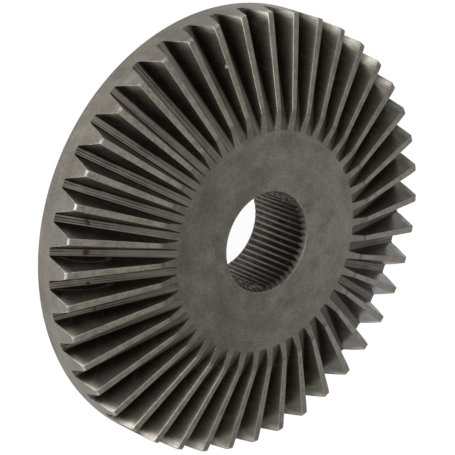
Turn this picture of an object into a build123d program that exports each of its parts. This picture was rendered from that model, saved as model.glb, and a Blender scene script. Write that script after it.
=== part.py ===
from build123d import *
import os
from math import cos, pi, radians, sin, tan

# A straight bevel gear with a splined bore, made of one piece of steel.
# It lies on its back face. +Z is its axis, on the side of the teeth, and the
# origin is the centre of the back face. Lengths are in mm, slopes in degrees.

# Blank
rim_diameter = 225.0      # plain cylinder behind the teeth
face_diameter = 132.6     # flat front face, out to where the tooth tips start
tip_slope = 15.9          # fall of the tooth tips from the face to the rim
tip_chamfer = 0.85        # broken edge where the tips meet the rim
web = 12.6                # metal behind the slot floors at the rim
rim_chamfer = 3.8         # back edge of the rim

# Teeth: straight slots that all point at the axis
tooth_count = 42
floor_slope = 25.6        # fall of the slot floors towards the rim
floor_reach = 10.1        # how far the floors run in past the start of the tips
floor_width = 4.0         # at the rim; it is nearly the same all the way in
floor_fillet = 0.7        # root radius on each side of the floor
tip_land_outer = 3.5      # width of a tooth's tip at the rim
tip_land_inner = 2.45     # width of a tooth's tip at the face

# Bore: an involute spline of module 1
spline_count = 48
spline_inside = 48.0      # diameter over the tips of the inner teeth
spline_outside = 50.0     # diameter at the bottom of the grooves
groove_mouth = 2.1        # groove width at the tips
groove_floor = 0.9        # groove width at the bottom
front_bore_chamfer = 1.8
back_bore_chamfer = 1.5

# Extra length of the cutting tools outside the blank
overrun = 2.0

# Radii and heights that follow
rim_radius = rim_diameter / 2
face_radius = face_diameter / 2
crown_radius = rim_radius - tip_chamfer
floor_start = face_radius - floor_reach
thickness = web + (rim_radius - floor_start) * tan(radians(floor_slope))
crown_height = thickness - (crown_radius - face_radius) * tan(radians(tip_slope))
bore_radius = spline_inside / 2

# The blank, turned from its half section
with BuildPart() as bevel_gear:
    with BuildSketch(Plane.XZ):
        with BuildLine():
            Polyline(
                (bore_radius + back_bore_chamfer, 0),
                (rim_radius - rim_chamfer, 0),
                (rim_radius, rim_chamfer),
                (rim_radius, crown_height - tip_chamfer),
                (crown_radius, crown_height),
                (face_radius, thickness),
                (bore_radius + front_bore_chamfer, thickness),
                (bore_radius, thickness - front_bore_chamfer),
                (bore_radius, back_bore_chamfer),
                close=True,
            )
        make_face()
    revolve(axis=Axis.Z)

# One slot lies along +X. Its flanks are flat, as they nearly are on a wheel with
# this many teeth, so each one lies in the plane of three corners: both ends of
# the tip's edge and the floor's corner at the rim. Half of the slot is cut from
# a block that stands on the floor, and then mirrored.
slope = radians(floor_slope)
floor_plane = Plane(
    (floor_start, 0, thickness),
    x_dir=(cos(slope), 0, -sin(slope)),
    z_dir=(sin(slope), 0, cos(slope)),
)
floor_length = (rim_radius - floor_start) / cos(slope)
half_pitch = rim_radius * sin(pi / tooth_count)


def tip_corner(radius, height, land):
    """The corner of a slot's mouth beside a tooth tip of the given width."""
    angle = pi / tooth_count - land / (2 * radius)
    return Vector(radius * cos(angle), radius * sin(angle), height)


inner_corner = tip_corner(face_radius, thickness, tip_land_inner)
outer_corner = tip_corner(crown_radius, crown_height, tip_land_outer)
floor_corner = Vector(rim_radius, floor_width / 2, web)
tip_edge = outer_corner - inner_corner
flank_plane = Plane(inner_corner, x_dir=tip_edge, z_dir=tip_edge.cross(floor_corner - inner_corner))
slot_depth = floor_plane.to_local_coords(outer_corner).Z

with BuildPart() as slot:
    with BuildSketch(floor_plane):
        with Locations((-overrun, 0)):
            Rectangle(floor_length + 2 * overrun, half_pitch, align=Align.MIN)
    extrude(amount=slot_depth + overrun)
    split(bisect_by=flank_plane, keep=Keep.BOTTOM)
    mirror(about=Plane.XZ)
    floor_face = slot.faces().sort_by(Axis((0, 0, 0), floor_plane.z_dir))[0]
    fillet(floor_face.edges().sort_by(SortBy.LENGTH)[-2:], floor_fillet)

with bevel_gear:
    with PolarLocations(0, tooth_count):
        add(slot.part, mode=Mode.SUBTRACT)

# The spline grooves run the whole length of the bore
with BuildSketch() as groove:
    with BuildLine():
        Polyline(
            (bore_radius - overrun, -groove_mouth / 2),
            (bore_radius, -groove_mouth / 2),
            (spline_outside / 2, -groove_floor / 2),
            (spline_outside / 2, groove_floor / 2),
            (bore_radius, groove_mouth / 2),
            (bore_radius - overrun, groove_mouth / 2),
            close=True,
        )
    make_face()

with bevel_gear:
    with BuildSketch():
        with PolarLocations(0, spline_count):
            add(groove.sketch)
    extrude(amount=thickness, mode=Mode.SUBTRACT)

bevel_gear.part.label = "bevel_gear"
os.makedirs("parts", exist_ok=True)
export_step(bevel_gear.part, "parts/bevel_gear.step")
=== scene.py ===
from functools import partial, reduce
from math import asin, atan2, cos, pi, radians, sin, sqrt, tan
from types import SimpleNamespace

import bmesh
import bpy
from bpy.props import FloatProperty, FloatVectorProperty, IntProperty, PointerProperty
from mathutils import Matrix, Vector


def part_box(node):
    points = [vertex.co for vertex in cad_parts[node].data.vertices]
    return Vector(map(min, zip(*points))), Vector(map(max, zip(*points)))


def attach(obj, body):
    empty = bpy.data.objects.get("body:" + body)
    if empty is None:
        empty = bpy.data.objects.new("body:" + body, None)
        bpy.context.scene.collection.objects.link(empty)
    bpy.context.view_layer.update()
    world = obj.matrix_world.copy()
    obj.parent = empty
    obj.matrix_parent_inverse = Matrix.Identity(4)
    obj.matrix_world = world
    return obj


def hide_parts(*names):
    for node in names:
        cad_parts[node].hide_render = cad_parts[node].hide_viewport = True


# A straight bevel gear of machined steel, with a splined bore, on a pale floor.
# Lengths are in metres and the gear lies on its back face, with its axis on +Z
# and the middle of a tooth slot on +X.

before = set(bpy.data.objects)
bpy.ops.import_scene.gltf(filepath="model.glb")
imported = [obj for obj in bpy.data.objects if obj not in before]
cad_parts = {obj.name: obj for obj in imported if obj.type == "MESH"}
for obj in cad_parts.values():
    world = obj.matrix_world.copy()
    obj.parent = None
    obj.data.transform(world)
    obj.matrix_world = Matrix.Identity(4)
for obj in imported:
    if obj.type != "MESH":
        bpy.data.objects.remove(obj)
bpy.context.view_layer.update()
cad_low, cad_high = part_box("bevel_gear")

bl_info = {
    "name": "Straight Bevel Gear",
    "version": (1, 0, 0),
    "blender": (4, 5, 0),
    "location": "View3D > Sidebar > Bevel Gear",
    "description": "Builds a machined bevel gear with a splined bore, and a plain studio for it",
    "category": "Add Mesh",
}

MM = 0.001


def to_linear(hex_colour):
    """Turns an sRGB hex colour into the linear colour that shaders take."""
    channels = [int(hex_colour[i:i + 2], 16) / 255 for i in (1, 3, 5)]
    return [c / 12.92 if c <= 0.04045 else ((c + 0.055) / 1.055) ** 2.4 for c in channels]


# ---------------------------------------------------------------- settings


def length(name, description, millimetres):
    """A length that a user can change, with its default in millimetres."""
    return FloatProperty(name=name, description=description, default=millimetres * MM, min=0.0,
                         precision=5, unit="LENGTH")


def angle(name, description, degrees):
    """An angle that a user can change, with its default in degrees."""
    return FloatProperty(name=name, description=description, default=radians(degrees),
                         unit="ROTATION")


def colour(name, description, hex_colour):
    """A colour that a user can change, with its default as sRGB hex."""
    return FloatVectorProperty(name=name, description=description, subtype="COLOR", size=3,
                               min=0.0, max=1.0, default=to_linear(hex_colour))


class GearSizes(bpy.types.PropertyGroup):
    rim_diameter: length("Rim diameter", "Across the plain rim", (cad_high.x - cad_low.x) / MM)
    thickness: length("Thickness", "From the back face to the front face",
                      (cad_high.z - cad_low.z) / MM)
    face_diameter: length("Face diameter", "Flat front face, out to the start of the tooth tips",
                          132.6)
    tip_slope: angle("Tip slope", "Fall of the tooth tips towards the rim", 15.9)
    tip_chamfer: length("Tip chamfer", "Broken edge where the tips meet the rim", 0.85)
    rim_chamfer: length("Rim chamfer", "Back edge of the rim", 3.8)
    tooth_count: IntProperty(name="Teeth", description="Number of teeth", default=42, min=8)
    floor_slope: angle("Floor slope", "Fall of the slot floors towards the rim", 25.6)
    floor_reach: length("Floor reach", "How far the floors run in past the start of the tips", 10.1)
    floor_width: length("Floor width", "Width of a slot's floor at the rim", 4.0)
    floor_fillet: length("Floor fillet", "Root radius on each side of a floor", 0.7)
    tip_land_outer: length("Outer tip width", "Width of a tooth's tip at the rim", 3.5)
    tip_land_inner: length("Inner tip width", "Width of a tooth's tip at the face", 2.45)
    spline_count: IntProperty(name="Grooves", description="Number of grooves in the bore",
                              default=48, min=8)
    spline_inside: length("Spline inside", "Diameter over the inner teeth", 48.0)
    spline_outside: length("Spline outside", "Diameter at the bottom of the grooves", 50.0)
    groove_mouth: length("Groove mouth", "Groove width at the inner teeth", 2.1)
    groove_floor: length("Groove floor", "Groove width at the bottom", 0.9)
    front_bore_chamfer: length("Front bore chamfer", "Bore's edge at the front face", 1.8)
    front_bore_lead: length("Front bore lead-in", "Depth of the bore's edge at the front", 3.3)
    back_bore_chamfer: length("Back bore chamfer", "Bore's edge at the back face", 1.5)
    tip_break: length("Tip edge", "Rounding along the tooth tips", 0.2)
    face_break: length("Face edge", "Rounding where the slots leave the front face", 0.08)
    heel_break: length("Heel edge", "Deburred edge where the slots leave the rim", 0.4)
    turned_break: length("Turned edge", "Rounding of the edges made on the lathe", 0.25)
    bore_break: length("Bore edge", "Rounding of the edges around the bore", 0.1)
    corner_break: length("Tip corner", "Rounding where the tips meet the front face", 1.1)
    flank_curve: length("Flank curve", "Radius of the flank's curve from root to tip, at the rim",
                        105)
    length_crown: length("Crown", "How far each flank falls away at the ends of the tooth", 0.05)
    heel_relief: length("Heel relief", "How far a flank curves away beside the rim", 0.2)
    nick_depth: length("Nick", "Depth of the dent in the edge of one tooth", 0.35)


class GearFinish(bpy.types.PropertyGroup):
    steel: colour("Steel", "Bare machined steel", "#99958B")
    steel_stained: colour("Stained steel", "Darker patches left by oil", "#848077")
    steel_olive: colour("Olive steel", "Faint yellowish film of old oil", "#989484")
    tip_steel: colour("Tip steel", "Cleaner steel on top of the teeth", "#A5A195")
    tip_brown: colour("Tip brown", "Faint brown film in spots on top of the teeth", "#8F8272")
    flank_steel: colour("Flank steel", "Steel near the tips of the flanks", "#8B877C")
    # Also the darker steel towards the flanks' roots
    root_steel: colour("Root steel", "Dark oily steel deep in the slots", "#66635A")
    floor_steel: colour("Floor steel", "Steel on the slot floors", "#888379")
    # Also the colour of the painted shade in the floors' corners
    floor_line: colour("Tool line", "Dark lines that the cutter left on the slot floors", "#3A3733")
    ridge_steel: colour("Spline steel", "Broached steel on the spline's ridges", "#8C8880")
    groove_steel: colour("Groove steel", "Blackened steel in the spline's grooves", "#383430")
    # Also the colour of painted highlights: the flanks' heels, the nick and two sides of the bore
    edge_steel: colour("Edge steel", "Bright steel where an edge is worn", "#D6D2C6")
    rust: colour("Rust", "Small spots of rust in the slots", "#472B14")


class StudioSettings(bpy.types.PropertyGroup):
    floor_colour: colour("Floor", "Pale floor", "#F4F4F2")
    floor_size: length("Floor size", "Side of the square floor", 8000)
    view_azimuth: angle("View azimuth", "Direction of the camera around the gear", -90.805)
    view_elevation: angle("View elevation", "Height of the camera above the gear", 47.104)
    view_roll: angle("View roll", "Turn of the camera about its line of sight", 111.834)
    view_distance: length("View distance", "From the camera to the front face", 1309.67)
    lens: FloatProperty(name="Lens", description="Focal length in mm on a 36 mm sensor",
                        default=214.02, min=20)


# ---------------------------------------------------------------- shape

# Shares of the way up a flank where its lines lie, from the chamfer down
FLANK_SHARES = (1.0, 0.86, 0.7, 0.52, 0.34, 0.18)
# Share of the slot's edge in the face where the highest of them starts, so that the
# tip's corner has room
HIGHEST_START = 0.86
# Lines of a half slot that lie on its flank, from the tip's edge to the fillet's start
FLANK_LINES = range(1, len(FLANK_SHARES) + 3)
FILLET_STEPS = 3
# Rounds in which a line's end settles on the round rim
RIM_ROUNDS = 6
# The heel's edges that lie beside a flank, counted from the tip
FLANK_END = 5
# Stations along a tooth, closer at its heel
STATIONS = (0, 0.04, 0.14, 0.28, 0.42, 0.572, 0.59, 0.608, 0.69, 0.8, 0.86, 0.9, 0.94, 0.97, 1)
# Where along a tooth its flanks start to curve away to the heel
RELIEF_START = 0.86
# Where the edge of a tooth has its one nick: slot, side and station
NICK = (26, -1, 6)
# Points on the rings that join the teeth to the bore, for each slot and for each groove
RING_STEPS = 8
GROOVE_STEPS = 7
RING_RADIUS = 40 * MM
# Edges that turn by more than this stay sharp
SHARP_ANGLE = radians(12)

ZONES = ("turned", "tip", "flank", "floor", "ridge", "groove", "edge")


def gear_shape(sizes):
    """Radii, heights and surfaces that follow from the sizes. One slot lies along +X."""
    shape = SimpleNamespace()
    shape.rim = sizes.rim_diameter / 2
    shape.face = sizes.face_diameter / 2
    shape.crown = shape.rim - sizes.tip_chamfer
    shape.top = sizes.thickness
    shape.crown_height = shape.top - (shape.crown - shape.face) * tan(sizes.tip_slope)
    shape.chamfer_height = shape.crown_height - sizes.tip_chamfer
    shape.floor_start = shape.face - sizes.floor_reach
    shape.half_pitch = pi / sizes.tooth_count

    def floor_height(x):
        return shape.top - (x - shape.floor_start) * tan(sizes.floor_slope)

    def tip_corner(radius, height, land):
        turn = shape.half_pitch - land / (2 * radius)
        return Vector((radius * cos(turn), radius * sin(turn), height))

    def tip_height(x):
        return shape.top - max(0, x - shape.face) * tan(sizes.tip_slope)

    shape.floor_height = floor_height
    shape.tip_height = tip_height
    shape.inner_corner = tip_corner(shape.face, shape.top, sizes.tip_land_inner)
    shape.outer_corner = tip_corner(shape.crown, shape.crown_height, sizes.tip_land_outer)
    floor_corner = Vector((shape.rim, sizes.floor_width / 2, floor_height(shape.rim)))
    across = shape.outer_corner - shape.inner_corner
    shape.flank_normal = across.cross(floor_corner - shape.inner_corner).normalized()
    if shape.flank_normal.y < 0:
        shape.flank_normal.negate()

    def flank_y(x, z):
        normal, corner = shape.flank_normal, shape.inner_corner
        return corner.y - (normal.x * (x - corner.x) + normal.z * (z - corner.z)) / normal.y

    shape.flank_y = flank_y
    return shape


def in_slot(shape, place, slot, side=1):
    """Turns a place of the slot along +X into another slot: side is 1 or -1 for its halves."""
    a = 2 * shape.half_pitch * slot
    x, y = place[0], side * place[1]
    return Vector((x * cos(a) - y * sin(a), x * sin(a) + y * cos(a), place[2]))


def slot_lines(sizes, shape):
    """Straight lines from the front face to the rim that half of a slot is ruled with.

    They run from the middle of a tooth's tip, down the flank and round the
    fillet, to the middle of the floor. Each one is a start and an end.
    """
    slope, fillet = sizes.floor_slope, sizes.floor_fillet
    up_floor = Vector((sin(slope), 0, cos(slope)))
    lean = asin(-shape.flank_normal.dot(up_floor))
    tangent = fillet * tan(pi / 4 - lean / 2)

    def at_rim(height_at, y_at):
        """The point on the rim where a line of that height and sideways place comes out."""
        x = shape.rim
        for _ in range(RIM_ROUNDS):
            z = height_at(x)
            y = y_at(x, z)
            x = sqrt(shape.rim ** 2 - y ** 2)
        return Vector((x, y, z))

    def flank_line(share):
        """A line on the flank at a share of the way up from the floor."""
        reach = share * HIGHEST_START * (shape.inner_corner.x - shape.floor_start)
        start_x = shape.floor_start + reach
        start = Vector((start_x, shape.flank_y(start_x, shape.top), shape.top))

        def height_at(x):
            return shape.floor_height(x) + share * (shape.chamfer_height - shape.floor_height(x))

        return start, at_rim(height_at, shape.flank_y)

    def parallel_line(rise, inset):
        """A line at a set height over the floor, and a set way in from the flank."""
        start_x = shape.floor_start + rise / sin(slope)

        def height_at(x):
            return shape.floor_height(x) + rise / cos(slope)

        def y_at(x, z):
            foot = shape.flank_y(x - rise * sin(slope), z - rise * cos(slope))
            return foot - inset

        start = Vector((start_x, y_at(start_x, shape.top), shape.top))
        return start, at_rim(height_at, y_at)

    tooth_middle = Vector((cos(shape.half_pitch), sin(shape.half_pitch), 0))
    lines = [
        (tooth_middle * shape.face + Vector((0, 0, shape.top)),
         tooth_middle * shape.crown + Vector((0, 0, shape.crown_height))),
        (shape.inner_corner, shape.outer_corner),
    ]
    lines += [flank_line(share) for share in FLANK_SHARES]
    for step in range(FILLET_STEPS + 1):
        turn = -lean - (pi / 2 - lean) * step / FILLET_STEPS
        lines.append(parallel_line(fillet * (1 + sin(turn)), tangent - fillet * cos(turn)))
    middle = Vector((shape.rim, 0, shape.floor_height(shape.rim)))
    lines.append((Vector((shape.floor_start, 0, shape.top)), middle))
    return lines


class GearMesh:
    """Collects the gear's points, faces and edges, with one sector after another."""

    def __init__(self):
        self.mesh = bmesh.new()
        self.weight = self.mesh.edges.layers.float.new("bevel_weight_edge")
        self.breaks = []
        self.dents = []

    def point(self, place):
        return self.mesh.verts.new(place)

    def face(self, corners, zone):
        face = self.mesh.faces.new(corners)
        face.material_index = ZONES.index(zone)
        face.smooth = True

    def strip(self, first, second, zone, closed=False):
        """Quads between two rows of points with the same count."""
        last = len(first) if closed else len(first) - 1
        for i in range(last):
            j = (i + 1) % len(first)
            self.face([first[i], first[j], second[j], second[i]], zone)

    def edge_break(self, row, width, closed=False):
        """Notes that the edges along a row of points are rounded by a width."""
        pairs = list(zip(row, row[1:])) + ([(row[-1], row[0])] if closed else [])
        self.breaks += [(pair, width) for pair in pairs]


def ring(build, radius, height, count):
    """A ring of evenly spaced points."""
    turns = [2 * pi * i / count for i in range(count)]
    return [build.point((radius * cos(a), radius * sin(a), height)) for a in turns]


def rounded_flank(place, along, sizes, shape):
    """Moves a point of the flat flank sideways onto a slightly convex one.

    From root to tip it follows a shallow arc, and along the tooth it falls away
    a little towards both ends, and more at the heel.
    """
    bottom = shape.floor_height(place.x)
    height = shape.tip_height(place.x) - bottom
    up = min(1, max(0, (place.z - bottom) / height))
    radius = sizes.flank_curve * place.x / shape.rim
    bulge = height ** 2 / (2 * radius) * up * (1 - up)
    fall = sizes.length_crown * (2 * along - 1) ** 2
    fall += sizes.heel_relief * max(0, (along - RELIEF_START) / (1 - RELIEF_START)) ** 2
    return place + Vector((0, fall - bulge, 0))


def build_slots(build, sizes, shape, front_ring, back_ring):
    """The teeth, slots, rim, and what lies between them and the two rings."""
    lines = slot_lines(sizes, shape)
    back_rim = shape.rim - sizes.rim_chamfer
    last = len(lines) - 1
    columns = {}

    def make_column(slot, side, number):
        """The points of one line, and of the rim and the back edge under its end."""
        start, end = lines[number]
        made = SimpleNamespace(along=[])
        for station, share in enumerate(STATIONS):
            place = start.lerp(end, share)
            if number in FLANK_LINES:
                place = rounded_flank(place, share, sizes, shape)
            nicked = number in (1, 2) and (slot, side, station) == NICK
            if nicked:
                place += Vector((0, 1, -1)) * sizes.nick_depth
            made.along.append(build.point(in_slot(shape, place, slot, side)))
            if nicked:
                build.dents.append(made.along[-1])
        heel = end
        made.heel = made.along[-1]
        if number == 0:
            heel = Vector((end.x, end.y, 0)).normalized() * shape.rim
            heel.z = shape.chamfer_height
            made.heel = build.point(in_slot(shape, heel, slot, side))
        if number != 1:
            out = Vector((heel.x, heel.y, 0)).normalized()
            low = out * shape.rim + Vector((0, 0, sizes.rim_chamfer))
            made.low = build.point(in_slot(shape, low, slot, side))
            made.back = build.point(in_slot(shape, out * back_rim, slot, side))
        return made

    def column(slot, side, number):
        """The points of one line: a line that two halves share is made once."""
        if number == 0:
            key = ("tooth", (slot + (side > 0) - 1) % sizes.tooth_count)
        elif number == last:
            key = ("floor", slot)
        else:
            key = (slot, side, number)
        if key not in columns:
            columns[key] = make_column(slot, side, number)
        return columns[key]

    zones = ["tip"] + ["flank"] * (len(FLANK_SHARES) + 1)
    zones += ["floor"] * (last - len(zones))
    for slot in range(sizes.tooth_count):
        for side in (1, -1):
            half = [column(slot, side, number) for number in range(last + 1)]
            # Tip, flank, fillet and floor
            for number in range(last):
                first, second = half[number].along, half[number + 1].along
                if side > 0:
                    first, second = second, first
                build.strip(first, second, zones[number])
            # Chamfer at the end of the tip
            corners = [half[0].along[-1], half[1].along[-1], half[2].heel, half[0].heel]
            build.face(corners if side < 0 else corners[::-1], "edge")
            # Rim and its back edge
            rim = [half[0]] + half[2:]
            rows = [[c.heel for c in rim], [c.low for c in rim], [c.back for c in rim]]
            for upper, lower in zip(rows, rows[1:]):
                if side > 0:
                    upper, lower = lower, upper
                build.strip(upper, lower, "turned")
            # Front and back face, out from the rings
            steps = RING_STEPS // 2
            sector = range(slot * RING_STEPS, slot * RING_STEPS + side * (steps + 1), side)
            front = [front_ring[i % len(front_ring)] for i in sector]
            back = [back_ring[i % len(back_ring)] for i in sector]
            starts = [c.along[0] for c in half]
            build.face((front + starts)[::side], "turned")
            build.face((back + rows[2])[::-side], "turned")
            # Rounded edges
            heels = [half[1].along[-1]] + rows[0][1:]
            for row, width in (
                    (starts[1:], sizes.face_break), (starts[:2], sizes.corner_break),
                    (half[1].along, sizes.tip_break), (heels[:FLANK_END + 1], sizes.heel_break),
                    (heels[FLANK_END:], sizes.face_break), (corners[:2], sizes.tip_break),
                    (corners[2:], sizes.tip_break), (rows[1], sizes.turned_break),
                    (rows[2], sizes.turned_break)):
                build.edge_break(row, width)


def build_bore(build, sizes, shape, front_ring, back_ring):
    """The splined bore, its two chamfers, and the faces around them."""
    inside, outside = sizes.spline_inside / 2, sizes.spline_outside / 2
    mouth, floor = sizes.groove_mouth / 2, sizes.groove_floor / 2
    depth = outside - inside
    # Radius and half width of a groove, from its rounded bottom to its mouth
    half_groove = [
        (outside, 0),
        (outside - 0.22 * depth, 0.6 * floor),
        (outside - 0.56 * depth, floor + 0.3 * (mouth - floor)),
        (inside, mouth),
    ]
    groove = half_groove + [(radius, -y) for radius, y in half_groove[:0:-1]]
    middle = GROOVE_STEPS // 2
    front_edge = inside + sizes.front_bore_chamfer
    back_edge = inside + sizes.back_bore_chamfer
    lead = sizes.front_bore_lead / sizes.front_bore_chamfer

    front_row, back_row = [], []
    for number in range(sizes.spline_count):
        for step, (radius, y) in enumerate(groove):
            a = 2 * pi * (number + (step > middle)) / sizes.spline_count
            a += atan2(y, radius)
            place = Vector((radius * cos(a), radius * sin(a), 0))
            front_height = shape.top - (front_edge - radius) * lead
            front_row.append(build.point(place + Vector((0, 0, front_height))))
            back_row.append(build.point(place + Vector((0, 0, back_edge - radius))))

    count = len(front_ring)
    front_rim = ring(build, front_edge, shape.top, count)
    back_rim = ring(build, back_edge, 0, count)
    build.strip(front_ring, front_rim, "turned", closed=True)
    build.strip(front_rim, front_row, "turned", closed=True)
    for step in range(count):
        zone = "ridge" if step % GROOVE_STEPS == middle else "groove"
        after = (step + 1) % count
        build.face([front_row[step], front_row[after], back_row[after], back_row[step]], zone)
    build.strip(back_row, back_rim, "turned", closed=True)
    build.strip(back_rim, back_ring, "turned", closed=True)
    build.edge_break(front_rim, sizes.bore_break, closed=True)
    build.edge_break(back_rim, sizes.bore_break, closed=True)


def gear_mesh(sizes):
    """The whole gear as one closed mesh, with a bevel weight on each rounded edge."""
    shape = gear_shape(sizes)
    build = GearMesh()
    count = sizes.tooth_count * RING_STEPS
    if count != sizes.spline_count * GROOVE_STEPS:
        raise ValueError(f"{RING_STEPS} times the teeth must be {GROOVE_STEPS} times the grooves")
    front_ring = ring(build, RING_RADIUS, shape.top, count)
    back_ring = ring(build, RING_RADIUS, 0, count)
    build_slots(build, sizes, shape, front_ring, back_ring)
    build_bore(build, sizes, shape, front_ring, back_ring)

    build.mesh.edges.index_update()
    widest = max(width for _, width in build.breaks)
    for pair, width in build.breaks:
        edge = build.mesh.edges.get(pair)
        edge[build.weight] = max(edge[build.weight], width / widest)
    for edge in build.mesh.edges:
        if not edge[build.weight] and edge.calc_face_angle(0) > SHARP_ANGLE:
            edge.smooth = False
    for point in build.dents:
        for face in point.link_faces:
            face.smooth = False
    bmesh.ops.recalc_face_normals(build.mesh, faces=build.mesh.faces)
    loose = [edge for edge in build.mesh.edges if not edge.is_manifold]
    if loose:
        raise ValueError(f"the gear's mesh has {len(loose)} open edges")
    mesh = bpy.data.meshes.new("gear_body")
    build.mesh.to_mesh(mesh)
    build.mesh.free()
    return mesh, widest


# ---------------------------------------------------------------- nodes

# Kinds of node by a short name: the type, its settings, its inputs in the order that they
# are given in, its output, and the values of the first inputs where they never change.
# Any other name is an operation of the Math node.
KINDS = {
    "PLACE": ("TexCoord", {}, (), "Object"),
    "SKY": ("TexCoord", {}, (), "Generated"),
    "POSITION": ("NewGeometry", {}, (), "Position"),
    "RAY": ("LightPath", {}, (), "Is Camera Ray"),
    "SPLIT": ("SeparateXYZ", {}, (0,), 0),
    "VECTOR": ("CombineXYZ", {}, (0, 1, 2), 0),
    "SUM": ("VectorMath", {"operation": "ADD"}, (0, 1), 0),
    "SCALE": ("VectorMath", {"operation": "SCALE"}, (0, "Scale"), 0),
    "UNIT": ("VectorMath", {"operation": "NORMALIZE"}, (0,), 0),
    "LENGTH": ("VectorMath", {"operation": "LENGTH"}, (0,), "Value"),
    "DISTANCE": ("VectorMath", {"operation": "DISTANCE"}, (0, 1), "Value"),
    "TOWARD": ("VectorMath", {"operation": "DOT_PRODUCT"}, (0, 1), "Value"),
    "NOISE": ("TexNoise", {}, ("Roughness", "Vector", "Scale", "Detail"), 0, 0.55),
    "EASE": ("MapRange", {"interpolation_type": "SMOOTHSTEP"}, (0, 1, 2, 3, 4), 0),
    "BLEND": ("Mix", {"data_type": "RGBA"}, (0, 6, 7), 2),
    "BUMP": ("Bump", {}, ("Strength", "Distance", "Height"), 0, 0.5),
    "PRINCIPLED": ("BsdfPrincipled", {}, ("Base Color", "Metallic", "Roughness", "Normal"), 0),
    "DIFFUSE": ("BsdfDiffuse", {}, ("Color",), 0),
    "EMISSION": ("Emission", {}, ("Strength",), 0),
    "BOTH": ("AddShader", {}, (0, 1), 0),
    "SURFACE": ("OutputMaterial", {}, ("Surface",), None),
    "BACKGROUND": ("Background", {}, ("Color", "Strength"), 0),
    "WORLD": ("OutputWorld", {}, ("Surface",), None),
}


def add_node(tree, kind, *values):
    """Adds a node, and gives its output.

    A value that is a socket is linked to its input, and any other is set on it.
    A colour comes without its alpha.
    """
    math = ("Math", {"operation": kind}, (0, 1, 2), 0)
    name, settings, inputs, output, *fixed = KINDS.get(kind, math)
    node = tree.nodes.new("ShaderNode" + name)
    for setting, value in settings.items():
        setattr(node, setting, value)
    for key, value in zip(inputs, (*fixed, *values)):
        socket = node.inputs[key]
        if isinstance(value, bpy.types.NodeSocket):
            tree.links.new(value, socket)
        else:
            socket.default_value = (*value, 1) if socket.type == "RGBA" else value
    return None if output is None else node.outputs[output]


def start_nodes(owner):
    """Empties the nodes of a material or world, and gives the function that adds one."""
    owner.use_nodes = True
    owner.node_tree.nodes.clear()
    return partial(add_node, owner.node_tree)


def start_material(name):
    """An empty node material, and the function that adds a node to it."""
    material = bpy.data.materials.new(name)
    return material, start_nodes(material)


def weighted(add, level, *parts):
    """A level, and each part times its weight on top of it."""
    for value, weight in parts:
        level = add("MULTIPLY_ADD", value, weight, level)
    return level


# ---------------------------------------------------------------- materials

# Scales of the patterns in cells to the metre, each with the width of a cell
FILM_CLOUDS = 38  # 26 mm
DRIED_RIMS = 55  # 18 mm
FACE_STAINS = 90  # 11 mm
FLANK_STAINS = 110  # 9 mm
FLOOR_STAINS = 150  # 6.7 mm
TIP_STAINS = 180  # 5.6 mm
RIDGE_STAINS = 200  # 5 mm
GROOVE_GRIME = 320  # 3.1 mm
WEAR = 420  # 2.4 mm
TIP_MOTTLE = 520  # 1.9 mm
TIP_GRAIN = 900  # 1.1 mm
FACE_GRAIN = 1000  # 1 mm
SPECKS = 1100  # 0.9 mm
RAGGED_EDGE = 1300  # 0.8 mm
# Radius at which the length of a turned mark is measured
MARK_RADIUS = 45 * MM
# Numbers that give each flank a pattern of its own, by its slot and its side
SLOT_SEED, SIDE_SEED = 7.3, 3.1
# Dried oil on the flanks: slot, middle along it, half length and height in millimetres
OIL_RIMS = ((34, 97.5, 10.5, 4.6), (35, 97.0, 11.5, 3.4))
# Dark lines on a slot's floor: place across it and half width, where 1 is half the floor
FLOOR_LINES = ((-0.78, 0.4), (-0.16, 0.36), (0.46, 0.26))
# Rust: number of the slot, and place along and across it and radius in millimetres
RUST_SPOTS = ((34, 96.6, -0.2, 1.8), (33, 98.3, -0.7, 1.0), (33, 97.4, 0.3, 1.1),
              (35, 95.6, 1.4, 1.2), (36, 94.0, 0.8, 0.9), (37, 111.0, 1.5, 1.1))
# The nick's bright bare steel and painted glint: how far below the tip it lies, and a spot's radius
# and its size
NICK_DROP, NICK_RADIUS, NICK_SIZE = 0.7 * MM, 0.5 * MM, 1.7


def surface_spot(add):
    """Where a point of the surface lies, in metres: on, round and from the gear's axis."""
    spot = SimpleNamespace(point=add("PLACE"))
    split = add("SPLIT", spot.point).node.outputs
    spot.height = split["Z"]
    spot.flat = add("VECTOR", split["X"], split["Y"], 0)
    spot.radius = add("LENGTH", spot.flat)
    spot.turn = add("ARCTAN2", split["Y"], split["X"])
    return spot


def slot_spot(add, sizes):
    """Adds the number of the nearest slot, and the place along it and across it."""
    spot = surface_spot(add)
    pitch = 2 * pi / sizes.tooth_count
    share = add("DIVIDE", spot.turn, pitch)
    spot.number = add("ROUND", share)
    offset = add("MULTIPLY", add("SUBTRACT", share, spot.number), pitch)
    spot.across = add("MULTIPLY", spot.radius, add("SINE", offset))
    spot.along = add("MULTIPLY", spot.radius, add("COSINE", offset))
    return spot


def turned_marks(add, spot, arc, feed):
    """Marks round the axis: arc is their length on the front face, and feed their width.

    Height counts nearly as much as radius, so that they run on over chamfers and the rim.
    """
    around = add("SCALE", add("UNIT", spot.flat), MARK_RADIUS / arc)
    outward = add("MULTIPLY_ADD", spot.height, 0.8, spot.radius)
    step = add("VECTOR", 0, 0, add("DIVIDE", outward, feed))
    return add("NOISE", add("SUM", around, step), 1, 3)


def streaks(add, along, run, across, width, seed, detail):
    """Stretched noise, whose cells run for a set length and have a set width."""
    place = add("VECTOR", add("DIVIDE", along, run), add("DIVIDE", across, width), seed)
    return add("NOISE", place, 1, detail)


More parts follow.
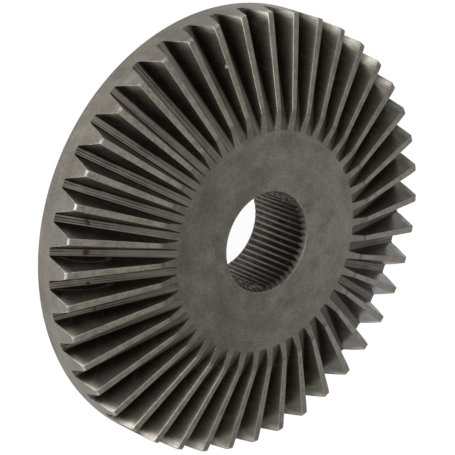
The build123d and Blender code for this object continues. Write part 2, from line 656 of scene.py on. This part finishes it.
def spots(add, place, centres, radius):
    """A mask of small spots of given sizes in that radius: 1 inside, and 0 beyond them."""
    # Noise moves their edges in and out, by up to 1.2 times the radius
    ragged = add("MULTIPLY_ADD", add("NOISE", place, RAGGED_EDGE, 3), 2.4 * radius, -1.2 * radius)
    masks = []
    for centre, size in centres:
        edge = add("ADD", add("DISTANCE", place, centre), ragged)
        masks.append(add("EASE", edge, size * 0.5 * radius, size * 1.3 * radius, 1, 0))
    return reduce(partial(add, "MAXIMUM"), masks)


def nick_steel_and_glint_mask(add, spot, sizes):
    """A mask of the dent in the edge of one tooth: bare steel, brightened into a painted glint."""
    shape = gear_shape(sizes)
    slot, side, station = NICK
    place = shape.inner_corner.lerp(shape.outer_corner, STATIONS[station])
    place.z -= NICK_DROP
    centre = in_slot(shape, place, slot, side)
    return spots(add, spot.point, [(centre, NICK_SIZE)], NICK_RADIUS)


def rust_mask(add, spot, sizes):
    """A mask of the spots of rust on the slot floors."""
    shape = gear_shape(sizes)
    centres = []
    for slot, along, across, size in RUST_SPOTS:
        place = (along * MM, across * MM, shape.floor_height(along * MM))
        centres.append((in_slot(shape, place, slot), size))
    return spots(add, spot.point, centres, 1 * MM)


def finish_steel(add, base, roughness, relief, depth, metal=1.0):
    """Adds the shader, with a relief of the given depth in metres."""
    normal = add("BUMP", depth, relief)
    add("SURFACE", add("PRINCIPLED", base, metal, roughness, normal))


def turned_steel(finish, sizes):
    """Lathe-turned steel: dull grey, faint rings, oil stains and a few dark specks, with painted
    shade on one side.

    The bore's chamfers are darker, with old oil.
    """
    material, add = start_material("turned_steel")
    spot = surface_spot(add)
    rings = turned_marks(add, spot, 16 * MM, 6 * MM)
    # The cutter's feed is about 0.15 mm, drawn at 0.9 mm so that it shows
    feed = turned_marks(add, spot, 9 * MM, 0.9 * MM)
    # Painted shade on one side of the gear: it adds to the stains there, so that side is a little
    # darker
    painted_side_shade = add("TOWARD", spot.flat, (0.9, -1.1, 0))
    patches = add("ADD", add("NOISE", spot.point, FACE_STAINS, 5), painted_side_shade)
    fine = add("NOISE", spot.point, FACE_GRAIN, 3)
    base = add("BLEND", add("EASE", patches, 0.34, 0.7), finish.steel, finish.steel_stained)
    film = add("EASE", add("NOISE", spot.point, FILM_CLOUDS, 3), 0.46, 0.7, 0, 0.5)
    film = add("MULTIPLY", film, add("EASE", rings, 0.35, 0.65, 0.2, 1))
    base = add("BLEND", film, base, finish.steel_olive)
    # Painted shade: the front face is darker on that side again
    darker = add("EASE", spot.radius, 66 * MM, 80 * MM, -1.5, 0)
    shade = weighted(add, 0.18, (fine, 0.85), (feed, 0.3), (rings, 0.5), (painted_side_shade, darker))
    base = add("SCALE", base, shade)
    specks = add("EASE", add("NOISE", spot.point, SPECKS, 1), 0.74, 0.8)
    base = add("BLEND", add("MULTIPLY", specks, 0.7), base, finish.groove_steel)
    chamfer = sizes.spline_inside / 2 + sizes.front_bore_chamfer
    oily = add("EASE", spot.radius, chamfer - 0.15 * MM, chamfer - 0.02 * MM, 0.6, 0)
    base = add("BLEND", oily, base, finish.root_steel)
    rough = add("EASE", patches, 0.3, 0.7, 0.38, 0.3)
    rough = weighted(add, rough, (oily, 0.35), (feed, 0.06))
    finish_steel(add, base, rough, add("ADD", feed, fine), 0.03 * MM)
    return material


def tip_steel(finish, sizes):
    """Turned steel on top of the teeth: cleaner and lighter, with marks across and along."""
    material, add = start_material("tip_steel")
    spot = slot_spot(add, sizes)
    # Both kinds of mark are about 0.15 mm, drawn at 0.8 and 0.5 mm so that they show
    feed = turned_marks(add, spot, 3 * MM, 0.8 * MM)
    along = streaks(add, spot.along, 9 * MM, spot.across, 0.5 * MM, spot.number, 2)
    patches = add("NOISE", spot.point, TIP_STAINS, 4)
    fine = add("NOISE", spot.point, TIP_GRAIN, 2)
    stained = add("EASE", patches, 0.42, 0.66, 0, 0.7)
    base = add("BLEND", stained, finish.tip_steel, finish.steel_stained)
    mottled = add("EASE", add("NOISE", spot.point, TIP_MOTTLE, 4), 0.5, 0.68, 0, 0.75)
    base = add("BLEND", mottled, base, finish.tip_brown)
    base = add("SCALE", base, weighted(add, 0.37, (fine, 0.7), (along, 0.3), (feed, 0.3)))
    # The nick: bare steel, brightened into a painted glint
    nick_steel_and_glint = nick_steel_and_glint_mask(add, spot, sizes)
    base = add("BLEND", nick_steel_and_glint, base, finish.edge_steel)
    rough = add("MULTIPLY_ADD", nick_steel_and_glint, 0.3, add("EASE", patches, 0.3, 0.7, 0.34, 0.28))
    finish_steel(add, base, rough, add("ADD", feed, fine), 0.04 * MM)
    return material


def flank_steel(finish, sizes):
    """Cut and worn tooth flanks: bright at the tips and darker towards the roots, with a painted
    highlight at the heel.
    """
    material, add = start_material("flank_steel")
    spot = slot_spot(add, sizes)
    shape = gear_shape(sizes)
    # Depth below the tip, the slot's whole depth there, and so the rise over its floor in
    # metres and as a share of the way up
    fall = add("MAXIMUM", 0, add("SUBTRACT", spot.along, shape.face))
    fall = add("MULTIPLY", fall, tan(sizes.tip_slope))
    depth = add("SUBTRACT", add("SUBTRACT", shape.top, fall), spot.height)
    run = add("SUBTRACT", spot.along, shape.floor_start)
    full = add("SUBTRACT", add("MULTIPLY", run, tan(sizes.floor_slope)), fall)
    rise = add("SUBTRACT", full, depth)
    up = add("SUBTRACT", 1, add("DIVIDE", depth, full))
    seed = add("MULTIPLY", spot.number, SLOT_SEED)
    seed = add("MULTIPLY_ADD", add("SIGN", spot.across), SIDE_SEED, seed)
    # The tool's strokes and the rubbed lines along the flank are finer than 0.3 mm, and
    # are drawn at 0.7 and 0.9 mm, or they wouldn't show
    strokes = streaks(add, spot.along, 0.7 * MM, rise, 9 * MM, seed, 2)
    rubbed_lines_and_glints = streaks(add, spot.along, 22 * MM, rise, 0.9 * MM, seed, 3)
    patches = add("NOISE", spot.point, FLANK_STAINS, 4)
    # Darker towards the roots, with a ragged edge
    ragged = add("MULTIPLY_ADD", patches, 0.5, add("SUBTRACT", up, 0.25))
    base = add("BLEND", add("EASE", ragged, 0.25, 1), finish.root_steel, finish.flank_steel)
    # Painted highlight: brighter at the heel, but not deep in the slot
    heel = add("EASE", add("MULTIPLY_ADD", patches, 5 * MM, spot.along),
               shape.rim - 3 * MM, shape.rim + 2.5 * MM)
    painted_heel_light = add("MULTIPLY", heel, add("EASE", ragged, 0.2, 0.9))
    base = add("BLEND", painted_heel_light, base, finish.edge_steel)
    # Thin pale rims that oil left where it dried, in the lower part of the slots
    rim = add("ABSOLUTE", add("SUBTRACT", add("NOISE", spot.point, DRIED_RIMS, 1), 0.5))
    rim = add("EASE", rim, 0.004, 0.014, 1, 0)
    rim = add("MULTIPLY", rim, add("EASE", up, 0.75, 0.35, 0, 0.5))
    base = add("BLEND", rim, base, finish.tip_steel)
    # The two large ones are rings that the patches bend, each on one flank
    for slot, middle, reach, height in OIL_RIMS:
        along = add("DIVIDE", add("SUBTRACT", spot.along, middle * MM), reach * MM)
        far = add("LENGTH", add("VECTOR", along, add("DIVIDE", rise, height * MM), 0))
        far = add("SUBTRACT", add("MULTIPLY_ADD", patches, 0.3, far), 1.15)
        ring_mask = add("EASE", add("ABSOLUTE", far), 0.03, 0.2, 0.75, 0)
        flank = (slot - sizes.tooth_count) * SLOT_SEED + SIDE_SEED
        ring_mask = add("MULTIPLY", add("COMPARE", seed, flank, 0.5), ring_mask)
        base = add("BLEND", ring_mask, base, finish.edge_steel)
    shade = weighted(add, 0.15, (patches, 0.3), (rubbed_lines_and_glints, 0.3), (strokes, 1.1))
    base = add("SCALE", base, shade)
    # The nick: bare steel, brightened into a painted glint
    nick_steel_and_glint = nick_steel_and_glint_mask(add, spot, sizes)
    base = add("BLEND", nick_steel_and_glint, base, finish.edge_steel)
    rough = add("MULTIPLY_ADD", nick_steel_and_glint, 0.3, add("EASE", patches, 0.3, 0.7, 0.28, 0.22))
    # A thin dull film of dried oil, which is not metal, thickens towards the heel and the tip
    film = add("EASE", spot.along, shape.face + 20 * MM, shape.rim, 0.02, 0.23)
    film = add("MULTIPLY", add("EASE", ragged, 0.1, 0.8), film)
    finish_steel(add, base, rough, add("ADD", strokes, rubbed_lines_and_glints), 0.03 * MM,
                 metal=add("SUBTRACT", 1, film))
    return material


def floor_steel(finish, sizes):
    """Slot floors: ridged lengthwise by the cutter, with oil in the lines and specks of rust."""
    material, add = start_material("floor_steel")
    spot = slot_spot(add, sizes)
    shape = gear_shape(sizes)
    # Place across the floor, where 1 and -1 are its sides all the way along
    ends = [shape.flank_y(x, shape.floor_height(x)) for x in (shape.floor_start, shape.rim)]
    taper = (ends[1] - ends[0]) / (shape.rim - shape.floor_start)
    half_width = add("MULTIPLY_ADD", spot.along, taper, ends[1] - taper * shape.rim)
    side = add("DIVIDE", spot.across, half_width)
    # Ridges 60 mm long, with seven across the floor
    place = add("VECTOR", add("DIVIDE", spot.along, 60 * MM), add("MULTIPLY", side, 3.5),
                spot.number)
    ridges = add("NOISE", place, 1, 1)
    # Each floor's dark lines lie a little differently, and come and go along it
    shift = add("NOISE", add("VECTOR", spot.number, 0, 0.5), 1, 2)
    shifted = add("MULTIPLY_ADD", shift, 0.3, add("SUBTRACT", side, 0.15))
    lines = []
    for middle, width in FLOOR_LINES:
        gap = add("ABSOLUTE", add("SUBTRACT", shifted, middle))
        place = add("VECTOR", add("DIVIDE", spot.along, 45 * MM), spot.number, 9 * middle)
        strength = add("EASE", add("NOISE", place, 1, 2), 0.32, 0.55, 0.25, 1)
        lines.append(add("MULTIPLY", add("EASE", gap, 0.1 * width, width, 1, 0), strength))
    patches = add("NOISE", spot.point, FLOOR_STAINS, 4)
    lines = add("MULTIPLY", reduce(partial(add, "MAXIMUM"), lines),
                add("EASE", patches, 0.3, 0.5, 0.65, 1))
    fainter = add("EASE", spot.along, shape.face - 4 * MM, shape.face + 22 * MM, 0.45, 1)
    lines = add("MULTIPLY", lines, fainter)
    # Painted shade in both corners of the floor, in the tool lines' dark colour
    lines = add("MAXIMUM", lines, add("EASE", add("ABSOLUTE", side), 0.66, 0.95))
    oily = add("EASE", patches, 0.45, 0.75, 0, 0.6)
    base = add("BLEND", oily, finish.floor_steel, finish.root_steel)
    # Painted shade: the floor is darker towards its inner end, and lighter towards the heel
    painted_heel_light = add("EASE", spot.along, shape.face + 8 * MM, shape.rim, 0.53, 0.88)
    base = add("SCALE", base, add("MULTIPLY_ADD", ridges, 0.8, painted_heel_light))
    base = add("BLEND", lines, base, finish.floor_line)
    rust = rust_mask(add, spot, sizes)
    base = add("BLEND", rust, base, finish.rust)
    rough = add("MULTIPLY_ADD", rust, 0.5, add("EASE", ridges, 0.3, 0.7, 0.38, 0.3))
    # Rust is a dull oxide, not bare metal
    finish_steel(add, base, rough, add("SUBTRACT", ridges, lines), 0.05 * MM,
                 metal=add("SUBTRACT", 1, rust))
    return material


def painted_bore_highlights(add, spot):
    """A mask of painted highlights: small light patches near the front, on two sides of the bore.
    """
    near = add("EASE", spot.height, 15 * MM, 30 * MM)
    sides = add("EASE", add("ABSOLUTE", add("SINE", spot.turn)), 0.5, 0.3, 0, 1)
    rubbed_lines_and_glints = add("EASE", add("NOISE", spot.point, WEAR, 2), 0.35, 0.8, 0, 0.8)
    return add("MULTIPLY", rubbed_lines_and_glints, add("MULTIPLY", near, sides))


def broached_steel(finish):
    """Broached ridges of the spline: fine bright lines along the bore."""
    material, add = start_material("broached_steel")
    spot = surface_spot(add)
    # Lines 12 mm long, and a sixtieth of a radian or 0.4 mm apart round the bore
    place = add("VECTOR", add("MULTIPLY", spot.turn, 60), add("DIVIDE", spot.height, 12 * MM), 0)
    lines = add("NOISE", place, 1, 2)
    patches = add("NOISE", spot.point, RIDGE_STAINS, 3)
    oily = add("EASE", patches, 0.4, 0.75, 0, 0.8)
    base = add("BLEND", oily, finish.ridge_steel, finish.root_steel)
    # Painted light: lighter towards the back, where the bore is open to the light, and darker
    # towards the front
    painted_back_light = add("EASE", spot.height, 4 * MM, 38 * MM, 1.15, 0.35)
    shade = add("MULTIPLY", painted_back_light, add("MULTIPLY_ADD", lines, 0.6, 0.7))
    base = add("SCALE", base, shade)
    # Painted highlights on two sides of the bore, near the front
    base = add("BLEND", painted_bore_highlights(add, spot), base, finish.edge_steel)
    finish_steel(add, base, add("EASE", patches, 0.3, 0.7, 0.34, 0.26), lines, 0.03 * MM)
    return material


def groove_steel(finish):
    """Blackened grooves of the spline: dark, dull and faintly brown, with old oil in them."""
    material, add = start_material("groove_steel")
    spot = surface_spot(add)
    grime = add("NOISE", spot.point, GROOVE_GRIME, 3)
    oily = add("EASE", grime, 0.5, 0.8, 0, 0.5)
    base = add("BLEND", oily, finish.groove_steel, finish.root_steel)
    # Painted light: the grooves are lighter towards the back, where the bore is open to the light
    base = add("SCALE", base, add("EASE", spot.height, 1 * MM, 22 * MM, 3.2, 0.8))
    # Painted highlights on two sides of the bore, near the front
    base = add("BLEND", painted_bore_highlights(add, spot), base, finish.edge_steel)
    finish_steel(add, base, add("EASE", grime, 0.3, 0.7, 0.5, 0.38), grime, 0.05 * MM)
    return material


def edge_steel(finish, sizes):
    """Worn and deburred edges: bright bare steel with small nicks, and duller within the teeth,
    where painted shade tones down their highlights.
    """
    material, add = start_material("edge_steel")
    spot = surface_spot(add)
    wear = add("NOISE", spot.point, WEAR, 3)
    bright = add("EASE", wear, 0.35, 0.65, 0, 0.9)
    base = add("BLEND", bright, finish.steel, finish.edge_steel)
    # Painted shade that tones down the edges' highlights: the slots' ends in the face and low in
    # the rim are duller, and the tips a little
    face, rim = sizes.face_diameter / 2, sizes.rim_diameter / 2
    inner = add("MULTIPLY", add("EASE", spot.radius, 30 * MM, 40 * MM),
                add("EASE", spot.radius, face - 1.2 * MM, face + 2.6 * MM, 1, 0.45))
    inner = add("MULTIPLY", inner,
                add("EASE", spot.radius, rim - 12 * MM, rim - 2 * MM, 1, 0))
    low = add("EASE", spot.height, 17 * MM, 22 * MM, 1, 0)
    base = add("BLEND", add("MAXIMUM", inner, low), base, finish.floor_steel)
    finish_steel(add, base, add("EASE", wear, 0.3, 0.7, 0.36, 0.24), wear, 0.05 * MM)
    return material


# ---------------------------------------------------------------- studio

# Point of the front face in the middle of the view
VIEW_MIDDLE = (0.204 * MM, -28.37 * MM)
# Level direction of the key light, and steps in which the paper gets brighter toward it:
# where each one starts and ends, and how much it adds
KEY_SIDE = (0.26, -0.97, 0)
PAPER_STEPS = ((-0.28, -0.1, 0.5), (0.03, 0.2, 0.55), (0.16, 0.26, 0.9))
# Sides where the paper is in shade: level direction, distance and share of its
# brightness, and then the width of a shade's soft edge
SHADES = (((-0.88, 0.47, 0), 0.115, 0.3), ((0.94, 0.34, 0), 0.105, 0.5),
          ((-0.6, -0.8, 0), 0.185, 0.45))
SHADE_EDGE = 0.03
# Small spots of painted glow on the paper, which only reflections see: place, radius and brightness
GLOW_SPOTS = (((-0.19, -0.035, 0), 0.07, 1.9), ((0.15, -0.16, 0), 0.08, 0.9))
# How much the paper glows for the camera, and how much of the lamps' light it gives back
PAPER_GLOW = 0.93
PAPER_SHARE = 0.25
# Softboxes: name, direction (azimuth, elevation), distance, width, height and how bright
# the face looks, where 1 is white
SOFTBOXES = (
    ("key_softbox", 284, 17, 1.6, 1.4, 0.9, 1.5),
    ("side_softbox", 12, 14, 1.2, 0.8, 0.5, 0.55),
    ("back_softbox", 95, 12, 1.4, 1.2, 0.5, 0.22),
)
WORLD_LEVEL = 0.3
# A wide, soft light from high in front: its direction, strength and spread
SKY_LIGHT = (262, 38, 0.5, 1.6)


def direction(azimuth, elevation):
    """A unit vector toward an azimuth and elevation in radians."""
    level = cos(elevation)
    return Vector((level * cos(azimuth), level * sin(azimuth), sin(elevation)))


def floor_paper(base):
    """White paper: it looks white, and keeps the gear's soft shadow.

    Polished metal sees a painted glow in it, brighter on the key light's side than behind the gear,
    with painted shade on some sides and a few bright spots.
    """
    material, add = start_material("white_paper")
    ray = add("RAY").node.outputs
    place = add("POSITION")
    toward = add("TOWARD", place, KEY_SIDE)
    steps = [add("EASE", toward, start, end, 0, level) for start, end, level in PAPER_STEPS]
    painted_glow = reduce(partial(add, "ADD"), steps)
    for side, start, level in SHADES:
        reach = add("TOWARD", place, side)
        painted_glow = add("MULTIPLY", painted_glow, add("EASE", reach, start, start + SHADE_EDGE, 1, level))
    for glow_spot, radius, level in GLOW_SPOTS:
        near = add("DISTANCE", place, glow_spot)
        painted_glow = add("ADD", painted_glow, add("EASE", near, 0.5 * radius, radius, level, 0))
    seen = add("MAXIMUM", ray["Is Glossy Ray"], ray["Is Transmission Ray"])
    glow = add("MULTIPLY", ray["Is Camera Ray"], PAPER_GLOW)
    light = add("EMISSION", add("MULTIPLY_ADD", seen, painted_glow, glow))
    paper = add("DIFFUSE", [PAPER_SHARE * c for c in base])
    add("SURFACE", add("BOTH", paper, light))
    return material


def add_softbox(scene, name, azimuth, elevation, distance, width, height, level):
    """A softbox that faces the gear, and whose face has the given brightness."""
    light = bpy.data.lights.new(name, "AREA")
    light.shape = "RECTANGLE"
    light.size, light.size_y = width, height
    light.energy = level * pi * width * height
    lamp = bpy.data.objects.new(name, light)
    toward = direction(radians(azimuth), radians(elevation))
    lamp.location = toward * distance
    lamp.rotation_euler = toward.to_track_quat("Z", "Y").to_euler()
    lamp.visible_camera = False
    scene.collection.objects.link(lamp)


def set_world(scene):
    """Soft light from all round and more from the front, which the camera sees as white."""
    world = bpy.data.worlds.new("studio_world")
    scene.world = world
    add = start_nodes(world)
    azimuth, elevation, level, spread = SKY_LIGHT
    facing = add("TOWARD", add("SKY"), direction(radians(azimuth), radians(elevation)))
    soft = add("EXPONENT", add("MULTIPLY_ADD", facing, spread, -spread))
    sky = add("MULTIPLY_ADD", soft, level, WORLD_LEVEL)
    strength = add("MAXIMUM", sky, add("RAY"))
    add("WORLD", add("BACKGROUND", (1, 1, 1), strength))


def add_camera(scene, studio):
    """The camera looks down at the gear, rolled about its own line of sight."""
    away = direction(studio.view_azimuth, studio.view_elevation)
    level = (-away).cross(Vector((0, 0, 1))).normalized()
    upward = level.cross(-away)
    roll = studio.view_roll
    right = level * cos(roll) + upward * sin(roll)
    up = upward * cos(roll) - level * sin(roll)
    aim = Vector((*VIEW_MIDDLE, cad_high.z))
    camera = bpy.data.objects.new("camera", bpy.data.cameras.new("camera"))
    camera.data.lens = studio.lens
    camera.data.sensor_width = 36
    camera.data.clip_end = 20
    camera.matrix_world = Matrix.Translation(aim + away * studio.view_distance) @ Matrix(
        (right, up, away)).transposed().to_4x4()
    scene.collection.objects.link(camera)
    scene.camera = camera


# ---------------------------------------------------------------- operators


class GEAR_OT_body(bpy.types.Operator):
    """Build the bevel gear's body, with its teeth, slots, rim and splined bore"""
    bl_idname = "gear.body"
    bl_label = "Gear Body"

    def execute(self, context):
        sizes, finish = context.scene.gear_sizes, context.scene.gear_finish
        mesh, widest = gear_mesh(sizes)
        gear = bpy.data.objects.new("gear_body", mesh)
        context.scene.collection.objects.link(gear)
        for material in (turned_steel(finish, sizes), tip_steel(finish, sizes),
                         flank_steel(finish, sizes), floor_steel(finish, sizes),
                         broached_steel(finish), groove_steel(finish), edge_steel(finish, sizes)):
            mesh.materials.append(material)

        bevel = gear.modifiers.new("edges", "BEVEL")
        bevel.limit_method = "WEIGHT"
        bevel.width = widest
        bevel.segments = 2
        bevel.use_clamp_overlap = False
        bevel.material = ZONES.index("edge")
        normals = gear.modifiers.new("normals", "WEIGHTED_NORMAL")
        normals.keep_sharp = True

        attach(gear, "root")
        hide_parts("bevel_gear")
        return {"FINISHED"}


class GEAR_OT_studio(bpy.types.Operator):
    """Lay the pale floor, and set the lamps, the world and the camera"""
    bl_idname = "gear.studio"
    bl_label = "Studio"

    def execute(self, context):
        scene, studio = context.scene, context.scene.gear_studio
        half = studio.floor_size / 2
        mesh = bpy.data.meshes.new("studio_floor")
        corners = [(-half, -half, 0), (half, -half, 0), (half, half, 0), (-half, half, 0)]
        mesh.from_pydata(corners, [], [(0, 1, 2, 3)])
        mesh.materials.append(floor_paper(studio.floor_colour))
        floor = bpy.data.objects.new("studio_floor", mesh)
        scene.collection.objects.link(floor)
        for lamp in SOFTBOXES:
            add_softbox(scene, *lamp)
        set_world(scene)
        add_camera(scene, studio)
        scene.view_settings.view_transform = "Standard"
        return {"FINISHED"}


class GEAR_PT_panel(bpy.types.Panel):
    """Sizes, finishes and builders of the bevel gear"""
    bl_idname = "GEAR_PT_panel"
    bl_label = "Bevel Gear"
    bl_space_type = "VIEW_3D"
    bl_region_type = "UI"
    bl_category = "Bevel Gear"

    def draw(self, context):
        layout, scene = self.layout, context.scene
        for group in (scene.gear_sizes, scene.gear_finish, scene.gear_studio):
            box = layout.box()
            for name in group.__annotations__:
                box.prop(group, name)
        layout.operator(GEAR_OT_body.bl_idname)
        layout.operator(GEAR_OT_studio.bl_idname)


CLASSES = (GearSizes, GearFinish, StudioSettings, GEAR_OT_body, GEAR_OT_studio, GEAR_PT_panel)
GROUPS = {"gear_sizes": GearSizes, "gear_finish": GearFinish, "gear_studio": StudioSettings}


def register():
    for cls in CLASSES:
        bpy.utils.register_class(cls)
    for name, group in GROUPS.items():
        setattr(bpy.types.Scene, name, PointerProperty(type=group))


def unregister():
    for name in GROUPS:
        delattr(bpy.types.Scene, name)
    for cls in reversed(CLASSES):
        bpy.utils.unregister_class(cls)


def main():
    register()
    bpy.ops.gear.body()
    bpy.ops.gear.studio()
    bpy.context.view_layer.update()


if __name__ == "__main__":
    main()
